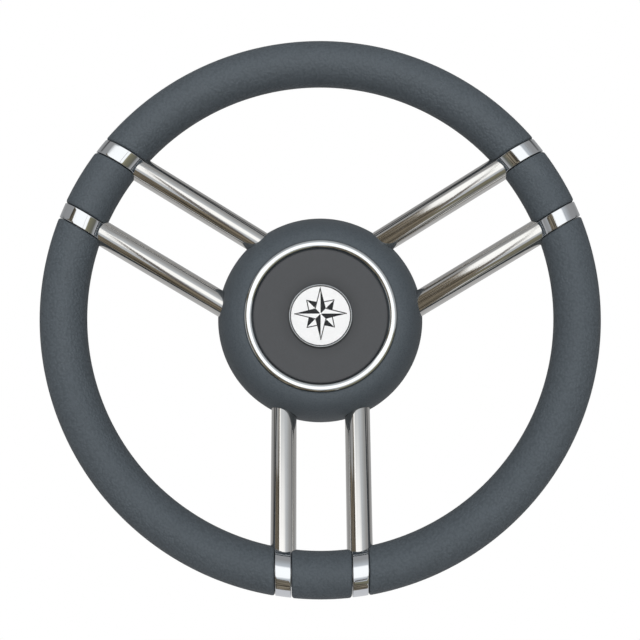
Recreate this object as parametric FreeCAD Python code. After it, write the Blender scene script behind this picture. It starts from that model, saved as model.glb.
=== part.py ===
import FreeCAD, Part
import math
import os

# Boat steering wheel with three pairs of polished tube spokes, in millimetres.
# The wheel's axis is the Y axis and its front, towards the helmsman, is -Y; +Z is up.
# The origin is the mouth of the tapered shaft bore, in the plane of the hub's rear face.
# "Forward" values are distances in front of that plane, so a forward value F lies at y = -F.

# Rim
RIM_OUTER_D = 350.0
GRIP_D = 29.2
RIM_FORWARD = 64.0
CORE_D = 16.0
CORE_WALL = 1.5
GRIP_END_ROUND = 1.6
BAND_WIDTH = 9.6
BAND_INSET = 0.15
BAND_EDGE_ROUND = 0.4
BAND_GAP = 0.4

# Spokes: three pairs of straight tubes that rise from the hub to the rim
LEFT_PAIR_ANGLE = 150.0
RIGHT_PAIR_ANGLE = 30.0
BOTTOM_PAIR_ANGLE = 270.0
SPOKE_D = 16.0
SPOKE_WALL = 1.5
SPOKE_SPACING = 47.0
SPOKE_RISE_ANGLE = 16.3
SPOKE_LIFT = 2.0
SPOKE_LIP_SETBACK = 3.0

# Hub drum and the bush for the helm shaft
DRUM_D = 80.0
DRUM_WALL = 4.0
DRUM_HEIGHT = 43.0
WEB_BACK = 12.0
WEB_THICK = 6.0
WEB_FILLET = 2.0
BUSH_D = 34.0
BUSH_LENGTH = 27.0
BUSH_FLANGE_D = 42.0
BUSH_FLANGE_THICK = 4.0
BUSH_CHAMFER = 0.8
TAPER_LARGE_D = 19.05
TAPER_RATIO = 12.0
KEYWAY_WIDTH = 4.76
KEYWAY_DEPTH = 2.4

# Moulded hub shell
SHELL_D = 133.0
SHELL_REAR_D = 120.0
SHELL_WIDEST_FORWARD = 29.0
SHELL_FRONT_FORWARD = 56.2
SHELL_LIP_THICK = 6.5
SHELL_LIP_ROUND = 1.0
SHELL_REAR_ROUND = 2.0
SHELL_LIP_OVERHANG = 3.0

# Rear cover and its screws
COVER_THICK = 3.0
COVER_RIM_WIDTH = 4.0
COVER_EDGE_ROUND = 0.8
SCREW_COUNT = 3
SCREW_SHANK_D = 4.0
SCREW_HEAD_D = 8.0
SCREW_LENGTH = 14.0
SCREW_SUNK = 0.15
SCREW_SLOT = 0.9
SCREW_SLOT_DEPTH = 1.1

# Trim ring, cap and emblem on the front
RING_WIDTH = 4.2
RING_CREST = 6.0
RING_CROWN = 0.8
RING_OUTER_D = 95.8
CAP_GROOVE = 0.9
CAP_EDGE_HEIGHT = 4.0
CAP_DISH = 1.1
CAP_DISH_EASE = 4.5
CAP_EDGE_ROUND = 1.2
CAP_PLATE_THICK = 2.7
CAP_SKIRT_WALL = 1.7
CAP_SKIRT_LENGTH = 11.5
CAP_SLOT_WIDTH = 4.0
CAP_SLOT_COUNT = 6
SNAP_HEIGHT = 0.6
SNAP_WIDTH = 1.8
SNAP_FROM_SKIRT_END = 1.1
EMBLEM_D = 40.2
EMBLEM_POCKET = 0.8
BEZEL_HEIGHT = 2.8
BEZEL_WALL = 1.0
BEZEL_FLOOR = 1.0
FACE_THICK = 1.0
FACE_GROOVE = 0.7
ROSE_THICK = 0.1
ROSE_LONG = 16.3
ROSE_LONG_WAIST = 4.7
ROSE_SHORT = 12.4
ROSE_SHORT_WAIST = 7.0
ROSE_RISE = 0.8
ROSE_HAIR_GAP = 0.35

# Clearances between pieces
WELD_GAP = 0.05
MOULD_GAP = 0.1
TUBE_GAP = 0.15
SNAP_GAP = 0.3
SEAT_GAP = 0.2

# Values worked out from those above
PAIR_ANGLES = {
    "left": LEFT_PAIR_ANGLE,
    "right": RIGHT_PAIR_ANGLE,
    "bottom": BOTTOM_PAIR_ANGLE,
}
RIM_R = (RIM_OUTER_D - GRIP_D) / 2
CORE_BORE_R = CORE_D / 2 + MOULD_GAP
HALF_SPACING = SPOKE_SPACING / 2
SPOKE_SEAT = math.sqrt(RIM_R ** 2 - HALF_SPACING ** 2)
SPOKE_RISE = math.tan(math.radians(SPOKE_RISE_ANGLE))
DRUM_R = DRUM_D / 2
DRUM_BORE_R = DRUM_R - DRUM_WALL
DRUM_FRONT = COVER_THICK + DRUM_HEIGHT
WEB_FRONT = WEB_BACK + WEB_THICK
FLOOR_FORWARD = DRUM_FRONT + SHELL_LIP_THICK
COVER_R = SHELL_REAR_D / 2 - COVER_RIM_WIDTH
SCREW_CIRCLE_R = (DRUM_R + COVER_R) / 2
SKIRT_R = DRUM_BORE_R - SNAP_GAP
SKIRT_END = FLOOR_FORWARD - CAP_SKIRT_LENGTH
SNAP_START = SKIRT_END + SNAP_FROM_SKIRT_END
RING_R = RING_OUTER_D / 2
CAP_R = RING_R - RING_WIDTH - CAP_GROOVE
CAP_EDGE_FORWARD = FLOOR_FORWARD + CAP_EDGE_HEIGHT
CAP_CENTRE_FORWARD = CAP_EDGE_FORWARD - CAP_DISH
EMBLEM_R = EMBLEM_D / 2
EMBLEM_SEAT = CAP_CENTRE_FORWARD - EMBLEM_POCKET
FACE_R = EMBLEM_R - BEZEL_WALL - FACE_GROOVE
FACE_FRONT = EMBLEM_SEAT + BEZEL_FLOOR + FACE_THICK

CENTRE = FreeCAD.Vector(0, 0, 0)
WHEEL_AXIS = FreeCAD.Vector(0, 1, 0)
REACH = RIM_OUTER_D


def at(radius, forward):
    return FreeCAD.Vector(radius, -forward, 0)


def line(start, end):
    return Part.makeLine(start, end)


def lines(points):
    return [line(start, end) for start, end in zip(points, points[1:])]


def rounded(start, corner, end):
    """Quarter of an ellipse that turns the corner."""
    curve = Part.BezierCurve()
    curve.setPoles([start, corner, end])
    curve.setWeight(2, math.sqrt(0.5))
    return curve.toShape()


def swelling(start, pull, end):
    """Gentle curve that leaves towards the pull point and arrives from it."""
    curve = Part.BezierCurve()
    curve.setPoles([start, pull, end])
    return curve.toShape()


def turned(edges):
    """Solid of revolution about the wheel's axis from a closed outline."""
    outline = Part.Face(Part.Wire(edges))
    return outline.revolve(CENTRE, WHEEL_AXIS, 360)


def turned_polygon(points):
    return turned(lines(points + points[:1]))


def disc(radius, back, front):
    """Plain cylinder on the wheel's axis between two forward values."""
    return Part.makeCylinder(radius, front - back, at(0, front), WHEEL_AXIS)


def swung(shape, degrees):
    """Copy turned about the wheel's axis, anticlockwise as the helmsman sees it."""
    copy = shape.copy()
    copy.rotate(CENTRE, WHEEL_AXIS, -degrees)
    return copy


def slab(low, high):
    """Everything beside a spoke pair's centre line between two offsets, outside the hub."""
    corner = FreeCAD.Vector(SHELL_D / 2, -REACH, low)
    return Part.makeBox(REACH, 2 * REACH, high - low, corner)


def end_edges(shape):
    """Outer edges of the flat ends."""
    flat = [face for face in shape.Faces if isinstance(face.Surface, Part.Plane)]
    return [edge for face in flat for edge in face.OuterWire.Edges]


def rim_length(radius, start, end):
    """Length of the rim, moulded round the core, between two angles."""
    middle = at(RIM_R, RIM_FORWARD)
    outside = Part.Face(Part.Wire(Part.makeCircle(radius, middle)))
    inside = Part.Face(Part.Wire(Part.makeCircle(CORE_BORE_R, middle)))
    section = outside.cut(inside).Faces[0]
    piece = section.revolve(CENTRE, WHEEL_AXIS, end - start)
    return swung(piece, end)


# Spokes

def spoke_rod(radius, end_radius, side):
    """Solid rod on a spoke's centre line, from the wheel's middle to a radius at the rim."""
    slope = math.radians(SPOKE_RISE_ANGLE)
    axis_forward = RIM_FORWARD + SPOKE_LIFT - SPOKE_SEAT * SPOKE_RISE
    start = FreeCAD.Vector(0, -axis_forward, side * HALF_SPACING)
    direction = FreeCAD.Vector(math.cos(slope), -math.sin(slope), 0)
    rod = Part.makeCylinder(radius, REACH, start, direction)
    return rod.common(disc(end_radius, -REACH, REACH))


def spoke_passage(side):
    """Clearance that a spoke needs through the pieces moulded round it."""
    lip = RIM_R - SPOKE_LIP_SETBACK + TUBE_GAP
    return spoke_rod(SPOKE_D / 2 + TUBE_GAP, lip, side)


def spoke(side):
    """Tube coped to the hub drum at one end and to the rim's core at the other."""
    lip = RIM_R - SPOKE_LIP_SETBACK
    tube = spoke_rod(SPOKE_D / 2, lip, side)
    tube = tube.cut(spoke_rod(SPOKE_D / 2 - SPOKE_WALL, REACH, side))
    tube = tube.cut(disc(DRUM_R + WELD_GAP, -REACH, REACH))
    core = Part.makeTorus(RIM_R, CORE_D / 2 + WELD_GAP, at(0, RIM_FORWARD), WHEEL_AXIS)
    return tube.cut(core)


# Rim

def rim_core():
    """Closed ring of steel tube."""
    middle = at(0, RIM_FORWARD)
    outside = Part.makeTorus(RIM_R, CORE_D / 2, middle, WHEEL_AXIS)
    inside = Part.makeTorus(RIM_R, CORE_D / 2 - CORE_WALL, middle, WHEEL_AXIS)
    return outside.cut(inside)


def band(side):
    """Mirror collar over the end of one spoke, open where the tube comes in."""
    middle = side * HALF_SPACING
    spread = math.degrees(math.asin((HALF_SPACING + BAND_WIDTH) / (RIM_R - GRIP_D / 2)))
    collar = rim_length(GRIP_D / 2 - BAND_INSET, -spread, spread)
    collar = collar.common(slab(middle - BAND_WIDTH / 2, middle + BAND_WIDTH / 2))
    collar = collar.makeFillet(BAND_EDGE_ROUND, end_edges(collar))
    return collar.cut(spoke_passage(side))


def short_grip():
    """Grip between the two bands of a spoke pair."""
    half_width = HALF_SPACING - BAND_WIDTH / 2 - BAND_GAP
    spread = math.degrees(math.asin(HALF_SPACING / (RIM_R - GRIP_D / 2)))
    grip = rim_length(GRIP_D / 2, -spread, spread)
    grip = grip.common(slab(-half_width, half_width))
    grip = grip.makeFillet(GRIP_END_ROUND, end_edges(grip))
    for side in (-1, 1):
        grip = grip.cut(spoke_passage(side))
    return grip


def long_grip(start, end):
    """Grip from one spoke pair round to the next, between their angles."""
    half_width = HALF_SPACING + BAND_WIDTH / 2 + BAND_GAP
    grip = rim_length(GRIP_D / 2, start, end)
    for angle in (start, end):
        grip = grip.cut(swung(slab(-half_width, half_width), angle))
    grip = grip.makeFillet(GRIP_END_ROUND, end_edges(grip))
    for angle in (start, end):
        for side in (-1, 1):
            grip = grip.cut(swung(spoke_passage(side), angle))
    return grip


# Hub

def hub_drum():
    """Turned steel drum: a wall that carries the spokes and a web that carries the bush."""
    groove = DRUM_BORE_R + SNAP_HEIGHT
    drum = turned_polygon([
        at(DRUM_BORE_R, DRUM_FRONT), at(DRUM_R, DRUM_FRONT),
        at(DRUM_R, COVER_THICK), at(DRUM_BORE_R, COVER_THICK),
        at(DRUM_BORE_R, WEB_BACK), at(BUSH_D / 2 + WELD_GAP, WEB_BACK),
        at(BUSH_D / 2 + WELD_GAP, WEB_FRONT), at(DRUM_BORE_R, WEB_FRONT),
        at(DRUM_BORE_R, SNAP_START - SNAP_GAP),
        at(groove, SNAP_START - SNAP_GAP + SNAP_HEIGHT),
        at(groove, SNAP_START + SNAP_WIDTH + SNAP_GAP - SNAP_HEIGHT),
        at(DRUM_BORE_R, SNAP_START + SNAP_WIDTH + SNAP_GAP)])
    corners = [edge for edge in drum.Edges if is_web_corner(edge)]
    return drum.makeFillet(WEB_FILLET, corners)


def is_web_corner(edge):
    if not isinstance(edge.Curve, Part.Circle):
        return False
    if abs(edge.Curve.Radius - DRUM_BORE_R) > WELD_GAP:
        return False
    forward = -edge.Curve.Center.y
    return min(abs(forward - WEB_BACK), abs(forward - WEB_FRONT)) < WELD_GAP


def taper_bush():
    """Steel bush with the helm's tapered bore and its keyway."""
    large = TAPER_LARGE_D / 2
    small = large - BUSH_LENGTH / (2 * TAPER_RATIO)
    outside = BUSH_D / 2
    bush = turned_polygon([
        at(large, 0), at(outside - BUSH_CHAMFER, 0), at(outside, BUSH_CHAMFER),
        at(outside, WEB_BACK - BUSH_FLANGE_THICK),
        at(BUSH_FLANGE_D / 2, WEB_BACK - BUSH_FLANGE_THICK),
        at(BUSH_FLANGE_D / 2, WEB_BACK), at(outside, WEB_BACK),
        at(outside, BUSH_LENGTH - BUSH_CHAMFER),
        at(outside - BUSH_CHAMFER, BUSH_LENGTH), at(small, BUSH_LENGTH)])
    corner = FreeCAD.Vector(-KEYWAY_WIDTH / 2, -BUSH_LENGTH, 0)
    keyway = Part.makeBox(KEYWAY_WIDTH, BUSH_LENGTH, large + KEYWAY_DEPTH, corner)
    return bush.cut(keyway)


def hub_shell():
    """Moulded body round the drum, with six passages for the spokes."""
    widest = at(SHELL_D / 2, SHELL_WIDEST_FORWARD)
    rear = SHELL_REAR_D / 2
    rear_side = at(rear, SHELL_REAR_ROUND)
    rear_flat = at(rear - SHELL_REAR_ROUND, 0)
    recess = RING_R + MOULD_GAP
    lip_top = at(recess + SHELL_LIP_ROUND, SHELL_FRONT_FORWARD)
    lip_side = at(recess, SHELL_FRONT_FORWARD - SHELL_LIP_ROUND)
    bore = DRUM_R + MOULD_GAP
    mouth = DRUM_R - SHELL_LIP_OVERHANG
    side_pull = at(SHELL_D / 2, SHELL_WIDEST_FORWARD / 2)
    shoulder_corner = at(SHELL_D / 2, SHELL_FRONT_FORWARD)
    outline = [rounded(rear_flat, at(rear, 0), rear_side)]
    outline.append(swelling(rear_side, side_pull, widest))
    outline.append(rounded(widest, shoulder_corner, lip_top))
    outline.append(rounded(lip_top, at(recess, SHELL_FRONT_FORWARD), lip_side))
    outline += lines([
        lip_side, at(recess, FLOOR_FORWARD), at(mouth, FLOOR_FORWARD),
        at(mouth, DRUM_FRONT), at(bore, DRUM_FRONT), at(bore, COVER_THICK),
        at(COVER_R + SEAT_GAP, COVER_THICK), at(COVER_R + SEAT_GAP, 0), rear_flat])
    shell = turned(outline)
    for angle in PAIR_ANGLES.values():
        for side in (-1, 1):
            shell = shell.cut(swung(spoke_passage(side), angle))
    for angle in screw_angles():
        shell = shell.cut(swung(screw_hole(), angle))
    return shell


def rear_cover():
    """Moulded plate that closes the back of the hub round the bush."""
    hole = BUSH_D / 2 + SEAT_GAP
    edge_flat = at(COVER_R - COVER_EDGE_ROUND, 0)
    edge_side = at(COVER_R, COVER_EDGE_ROUND)
    outline = [rounded(edge_flat, at(COVER_R, 0), edge_side)]
    outline += lines([
        edge_side, at(COVER_R, COVER_THICK), at(hole, COVER_THICK), at(hole, 0), edge_flat])
    cover = turned(outline)
    for angle in screw_angles():
        cover = cover.cut(swung(screw_hole(), angle))
    return cover


# Screws of the rear cover

def screw_angles():
    """Angles midway between the spoke pairs."""
    return [90.0 + 360.0 * step / SCREW_COUNT for step in range(SCREW_COUNT)]


def screw_form(spare, end):
    """Countersunk screw along the wheel's axis at the screw circle, with spare all round."""
    shank = SCREW_SHANK_D / 2 + spare
    head = SCREW_HEAD_D / 2 + spare
    cone_end = SCREW_SUNK + head - shank
    outline = [at(0, SCREW_SUNK), at(head, SCREW_SUNK), at(shank, cone_end),
               at(shank, end - shank), at(0, end)]
    form = turned_polygon(outline)
    form.translate(FreeCAD.Vector(SCREW_CIRCLE_R, 0, 0))
    return form


def screw():
    form = screw_form(0, SCREW_LENGTH)
    reach = SCREW_SHANK_D / 2
    bottom = -SCREW_SUNK - SCREW_SLOT_DEPTH
    across = FreeCAD.Vector(SCREW_CIRCLE_R - reach, bottom, -SCREW_SLOT / 2)
    along = FreeCAD.Vector(SCREW_CIRCLE_R - SCREW_SLOT / 2, bottom, -reach)
    form = form.cut(Part.makeBox(2 * reach, REACH, SCREW_SLOT, across))
    return form.cut(Part.makeBox(SCREW_SLOT, REACH, 2 * reach, along))


def screw_hole():
    form = screw_form(MOULD_GAP, SCREW_LENGTH + SNAP_GAP)
    mouth = Part.makeCylinder(SCREW_HEAD_D / 2 + MOULD_GAP, 2 * SCREW_SUNK,
                              at(SCREW_CIRCLE_R, SCREW_SUNK), WHEEL_AXIS)
    return form.fuse(mouth)


def rear_cover_screws():
    return Part.makeCompound([swung(screw(), angle) for angle in screw_angles()])


# Front of the hub

def trim_ring():
    """Low-crowned ring that stands in the shell's recess round the cap."""
    inside = RING_R - RING_WIDTH
    top = FLOOR_FORWARD + RING_CREST
    shoulder = top - RING_CROWN
    crest = at(RING_R - RING_WIDTH / 2, top)
    outer_top = at(RING_R, shoulder)
    inner_top = at(inside, shoulder)
    outline = [Part.Arc(outer_top, crest, inner_top).toShape()]
    outline += lines([
        inner_top, at(inside, FLOOR_FORWARD), at(RING_R, FLOOR_FORWARD), outer_top])
    return turned(outline)


def centre_cap():
    """Cap with a dished face, a pocket for the emblem and a slotted skirt with a snap bead."""
    pocket = EMBLEM_R + MOULD_GAP
    underside = EMBLEM_SEAT - CAP_PLATE_THICK
    inside = SKIRT_R - CAP_SKIRT_WALL
    bead = SKIRT_R + SNAP_HEIGHT
    edge_top = at(CAP_R - CAP_EDGE_ROUND, CAP_EDGE_FORWARD)
    edge_side = at(CAP_R, CAP_EDGE_FORWARD - CAP_EDGE_ROUND)
    dish_end = at(pocket, CAP_CENTRE_FORWARD)
    dish_pull = at(pocket + CAP_DISH_EASE, CAP_EDGE_FORWARD)
    outline = [swelling(dish_end, dish_pull, edge_top)]
    outline.append(rounded(edge_top, at(CAP_R, CAP_EDGE_FORWARD), edge_side))
    outline += lines([
        edge_side, at(CAP_R, FLOOR_FORWARD), at(SKIRT_R, FLOOR_FORWARD),
        at(SKIRT_R, SNAP_START + SNAP_WIDTH),
        at(bead, SNAP_START + SNAP_WIDTH - SNAP_HEIGHT),
        at(bead, SNAP_START + SNAP_HEIGHT), at(SKIRT_R, SNAP_START),
        at(SKIRT_R, SKIRT_END), at(inside, SKIRT_END), at(inside, underside),
        at(0, underside), at(0, EMBLEM_SEAT), at(pocket, EMBLEM_SEAT), dish_end])
    cap = turned(outline)
    for step in range(CAP_SLOT_COUNT):
        cap = cap.cut(swung(cap_slot(), 360.0 * step / CAP_SLOT_COUNT))
    return cap


def cap_slot():
    """Slot that parts two of the skirt's tongues."""
    start = SKIRT_R - 2 * CAP_SKIRT_WALL
    corner = FreeCAD.Vector(start, -FLOOR_FORWARD + CAP_PLATE_THICK, -CAP_SLOT_WIDTH / 2)
    return Part.makeBox(3 * CAP_SKIRT_WALL, CAP_SKIRT_LENGTH, CAP_SLOT_WIDTH, corner)


def emblem_bezel():
    """Shallow cup with a rounded lip that frames the emblem's face."""
    top = EMBLEM_SEAT + BEZEL_HEIGHT
    inside = EMBLEM_R - BEZEL_WALL
    shoulder = top - BEZEL_WALL / 2
    crest = at(EMBLEM_R - BEZEL_WALL / 2, top)
    outline = [Part.Arc(at(EMBLEM_R, shoulder), crest, at(inside, shoulder)).toShape()]
    outline += lines([
        at(inside, shoulder), at(inside, EMBLEM_SEAT + BEZEL_FLOOR),
        at(0, EMBLEM_SEAT + BEZEL_FLOOR), at(0, EMBLEM_SEAT),
        at(EMBLEM_R, EMBLEM_SEAT), at(EMBLEM_R, shoulder)])
    return turned(outline)


def emblem_face():
    return disc(FACE_R, EMBLEM_SEAT + BEZEL_FLOOR, FACE_FRONT)


def rose_point(radius, degrees):
    angle = math.radians(degrees)
    x = radius * math.cos(angle)
    z = ROSE_RISE + radius * math.sin(angle)
    return FreeCAD.Vector(x, -FACE_FRONT, z)


def rose_plate(points):
    outline = Part.makePolygon(points + points[:1])
    return Part.Face(outline).extrude(FreeCAD.Vector(0, -ROSE_THICK, 0))


def long_star():
    """Whole four-pointed star, with the thin line that borders it."""
    points = []
    for quarter in range(4):
        points.append(rose_point(ROSE_LONG, 90.0 * quarter))
        points.append(rose_point(ROSE_LONG_WAIST + ROSE_HAIR_GAP, 90.0 * quarter + 45.0))
    return rose_plate(points)


def compass_rose():
    """Dark halves of the four long and four short points, on their clockwise sides."""
    halves = []
    for quarter in range(4):
        angle = 90.0 * quarter
        halves.append(rose_plate([
            rose_point(ROSE_HAIR_GAP, angle), rose_point(ROSE_LONG, angle),
            rose_point(ROSE_LONG_WAIST, angle - 45.0),
            rose_point(ROSE_HAIR_GAP, angle - 45.0)]))
        short = rose_plate([
            rose_point(0, 0), rose_point(ROSE_SHORT, angle + 45.0),
            rose_point(ROSE_SHORT_WAIST, angle)])
        halves += short.cut(long_star()).Solids
    return Part.makeCompound(halves)


def write(name, shape):
    shape.exportStep("parts/" + name + ".step")


def write_rim():
    write("rim_core", rim_core())
    for name, angle in PAIR_ANGLES.items():
        write("short_grip_" + name, swung(short_grip(), angle))
    write("long_grip_top", long_grip(PAIR_ANGLES["right"], PAIR_ANGLES["left"]))
    write("long_grip_left", long_grip(PAIR_ANGLES["left"], PAIR_ANGLES["bottom"]))
    write("long_grip_right", long_grip(PAIR_ANGLES["bottom"], PAIR_ANGLES["right"] + 360))


def write_spokes():
    for name, angle in PAIR_ANGLES.items():
        for number, side in ((1, 1), (2, -1)):
            end = "_" + name + "_" + str(number)
            write("spoke" + end, swung(spoke(side), angle))
            write("band" + end, swung(band(side), angle))


def write_hub():
    write("hub_drum", hub_drum())
    write("taper_bush", taper_bush())
    write("hub_shell", hub_shell())
    write("rear_cover", rear_cover())
    write("rear_cover_screws", rear_cover_screws())
    write("trim_ring", trim_ring())
    write("centre_cap", centre_cap())
    write("emblem_bezel", emblem_bezel())
    write("emblem_face", emblem_face())
    write("compass_rose", compass_rose())


os.makedirs("parts", exist_ok=True)
write_rim()
write_spokes()
write_hub()
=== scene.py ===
import math

import bmesh
import bpy
from mathutils import Matrix, Vector


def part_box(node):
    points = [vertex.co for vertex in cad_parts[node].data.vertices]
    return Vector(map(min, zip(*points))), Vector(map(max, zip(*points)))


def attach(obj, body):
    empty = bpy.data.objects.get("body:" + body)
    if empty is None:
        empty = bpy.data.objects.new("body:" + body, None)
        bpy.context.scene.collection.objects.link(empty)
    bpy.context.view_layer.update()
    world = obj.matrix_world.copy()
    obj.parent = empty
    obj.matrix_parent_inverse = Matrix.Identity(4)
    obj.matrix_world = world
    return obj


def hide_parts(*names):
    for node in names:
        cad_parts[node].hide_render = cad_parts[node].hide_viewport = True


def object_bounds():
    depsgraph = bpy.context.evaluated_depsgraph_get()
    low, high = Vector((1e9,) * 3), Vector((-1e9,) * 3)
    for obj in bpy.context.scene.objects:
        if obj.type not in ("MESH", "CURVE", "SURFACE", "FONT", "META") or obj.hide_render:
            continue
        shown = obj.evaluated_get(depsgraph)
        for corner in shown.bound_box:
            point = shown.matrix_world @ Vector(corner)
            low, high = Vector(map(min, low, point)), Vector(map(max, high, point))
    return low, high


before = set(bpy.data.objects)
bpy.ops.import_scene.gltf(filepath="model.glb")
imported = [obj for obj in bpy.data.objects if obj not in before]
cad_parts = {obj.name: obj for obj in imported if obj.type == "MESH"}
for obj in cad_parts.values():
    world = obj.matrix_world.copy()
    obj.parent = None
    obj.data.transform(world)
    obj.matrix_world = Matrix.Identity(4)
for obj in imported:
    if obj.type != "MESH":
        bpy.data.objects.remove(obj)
CAD_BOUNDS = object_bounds()

bl_info = {
    "name": "Boat steering wheel",
    "version": (1, 0, 0),
    "blender": (4, 5, 0),
    "location": "View3D > Sidebar > Wheel",
    "description": "Finished boat steering wheel with moulded grips and polished tube spokes",
    "category": "Object",
}

# The wheel's axis is Y and its front is -Y. A forward value F lies at y = -F.
# Angles are in degrees, anticlockwise from +X as the helmsman sees the wheel.
MM = 0.001
WELD_DISTANCE = 1e-7
BAR_MAP = "length_and_round"
PAIR_ANGLES = {"left": 150.0, "right": 30.0, "bottom": 270.0}
LONG_GRIPS = {"top": (30.0, 150.0), "left": (150.0, 270.0), "right": (270.0, 390.0)}
SCREW_ANGLES = (90.0, 210.0, 330.0)
SKIRT_SLOTS = 6
EIGHTH_TURN = 45.0
BEHIND_HUB = (0.0, 10.0 * MM, 0.0)
BEFORE_HUB = (0.0, -80.0 * MM, 0.0)


def forward_span(name):
    """Least and most that a node reaches in front of the hub's rear face."""
    low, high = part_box(name)
    return -high.y, -low.y


def reach(name):
    """Largest distance of a node from the wheel's axis."""
    low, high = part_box(name)
    return max(high.x, high.z, -low.x, -low.z)


GRIP_SPAN = forward_span("short_grip_bottom")
CORE_SPAN = forward_span("rim_core")
BAND_SPAN = forward_span("band_bottom_1")
SPOKE_LOW, SPOKE_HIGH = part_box("spoke_bottom_1")
BAND_LOW, BAND_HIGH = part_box("band_bottom_1")
SHORT_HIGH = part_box("short_grip_bottom")[1]
RING_SPAN = forward_span("trim_ring")
CAP_SPAN = forward_span("centre_cap")
SHELL_SPAN = forward_span("hub_shell")
COVER_SPAN = forward_span("rear_cover")
DRUM_SPAN = forward_span("hub_drum")
BEZEL_SPAN = forward_span("emblem_bezel")
FACE_SPAN = forward_span("emblem_face")
SCREW_SPAN = forward_span("rear_cover_screws")


def length(name, description, default):
    return bpy.props.FloatProperty(name=name, description=description, default=default,
                                   unit="LENGTH", precision=5)


def slant(name, description, degrees):
    return bpy.props.FloatProperty(name=name, description=description, subtype="ANGLE",
                                   default=math.radians(degrees))


def colour(name, description, default):
    return bpy.props.FloatVectorProperty(name=name, description=description, default=default,
                                         subtype="COLOR", size=3, min=0.0, max=1.0)


class RimSizes(bpy.types.PropertyGroup):
    outer: length("Outer radius", "Radius of the rim's outside", CAD_BOUNDS[1][2])
    grip: length("Grip radius", "Radius of the grip's round section",
                 (GRIP_SPAN[1] - GRIP_SPAN[0]) / 2)
    forward: length("Rim forward", "Rim's middle plane in front of the hub's rear face",
                    (GRIP_SPAN[1] + GRIP_SPAN[0]) / 2)
    core: length("Core radius", "Radius of the steel ring inside the grips",
                 (CORE_SPAN[1] - CORE_SPAN[0]) / 2)
    grip_end_round: length("Grip end rounding", "Radius at the grips' ends", 1.6 * MM)
    band: length("Band radius", "Radius of the band's round section",
                 (BAND_SPAN[1] - BAND_SPAN[0]) / 2)
    band_width: length("Band width", "Width of a mirror band", BAND_HIGH.x - BAND_LOW.x)
    band_round: length("Band rounding", "Radius at the bands' edges", 0.4 * MM)
    band_gap: length("Band gap", "Gap beside a band", BAND_LOW.x - SHORT_HIGH.x)
    mould_gap: length("Mould gap", "Gap between the steel and what is moulded on it", 0.1 * MM)


class SpokeSizes(bpy.types.PropertyGroup):
    radius: length("Tube radius", "Outside radius of the spokes",
                   (SPOKE_HIGH.x - SPOKE_LOW.x) / 2)
    wall: length("Tube wall", "Wall of the spokes", 1.5 * MM)
    half_spacing: length("Half spacing", "Half the distance between the tubes of a pair",
                         (SPOKE_HIGH.x + SPOKE_LOW.x) / 2)
    rise: slant("Rise", "Angle that the spokes rise by", 16.3)
    lift: length("Lift", "Height of the spoke's axis over the rim's middle at the rim", 2.0 * MM)
    setback: length("Setback", "Distance of the tube's end from the rim's middle circle",
                    3.0 * MM)
    clearance: length("Clearance", "Gap round a spoke where it is moulded in", 0.15 * MM)


class HubSizes(bpy.types.PropertyGroup):
    shell: length("Shell radius", "Largest radius of the moulded shell", reach("hub_shell"))
    shell_rear: length("Shell rear radius", "Radius of the shell at the back", 60.0 * MM)
    shell_widest: length("Widest place", "Forward place of the largest radius", 29.0 * MM)
    shell_front: length("Shell front", "Forward place of the shell's lip", SHELL_SPAN[1])
    lip_round: length("Lip rounding", "Radius of the lip beside the ring", 1.0 * MM)
    rear_round: length("Rear rounding", "Radius of the shell's rear edge", 2.0 * MM)
    mouth: length("Mouth radius", "Radius of the floor's hole for the cap's skirt", 37.0 * MM)
    drum: length("Drum radius", "Outside radius of the steel drum", reach("hub_drum"))
    drum_front: length("Drum front", "Forward place of the drum's front edge", DRUM_SPAN[1])
    floor: length("Recess floor", "Forward place of the recess that holds ring and cap",
                  RING_SPAN[0])
    cover: length("Cover radius", "Radius of the rear cover", reach("rear_cover"))
    cover_thick: length("Cover thickness", "Thickness of the rear cover",
                        COVER_SPAN[1] - COVER_SPAN[0])
    cover_hole: length("Cover hole", "Radius of the rear cover's hole", 17.2 * MM)
    cover_round: length("Cover rounding", "Radius of the rear cover's edge", 0.8 * MM)
    seat_gap: length("Seat gap", "Gap round the rear cover", 0.2 * MM)
    screw_circle: length("Screw circle", "Radius of the circle of cover screws", 48.0 * MM)
    screw_head: length("Screw head", "Radius of a screw's head", 4.0 * MM)
    screw_shank: length("Screw shank", "Radius of a screw's shank", 2.0 * MM)
    screw_slot: length("Screw slot", "Width of the cross recess", 0.9 * MM)
    screw_slot_depth: length("Slot depth", "Depth of the cross recess", 1.1 * MM)


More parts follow.
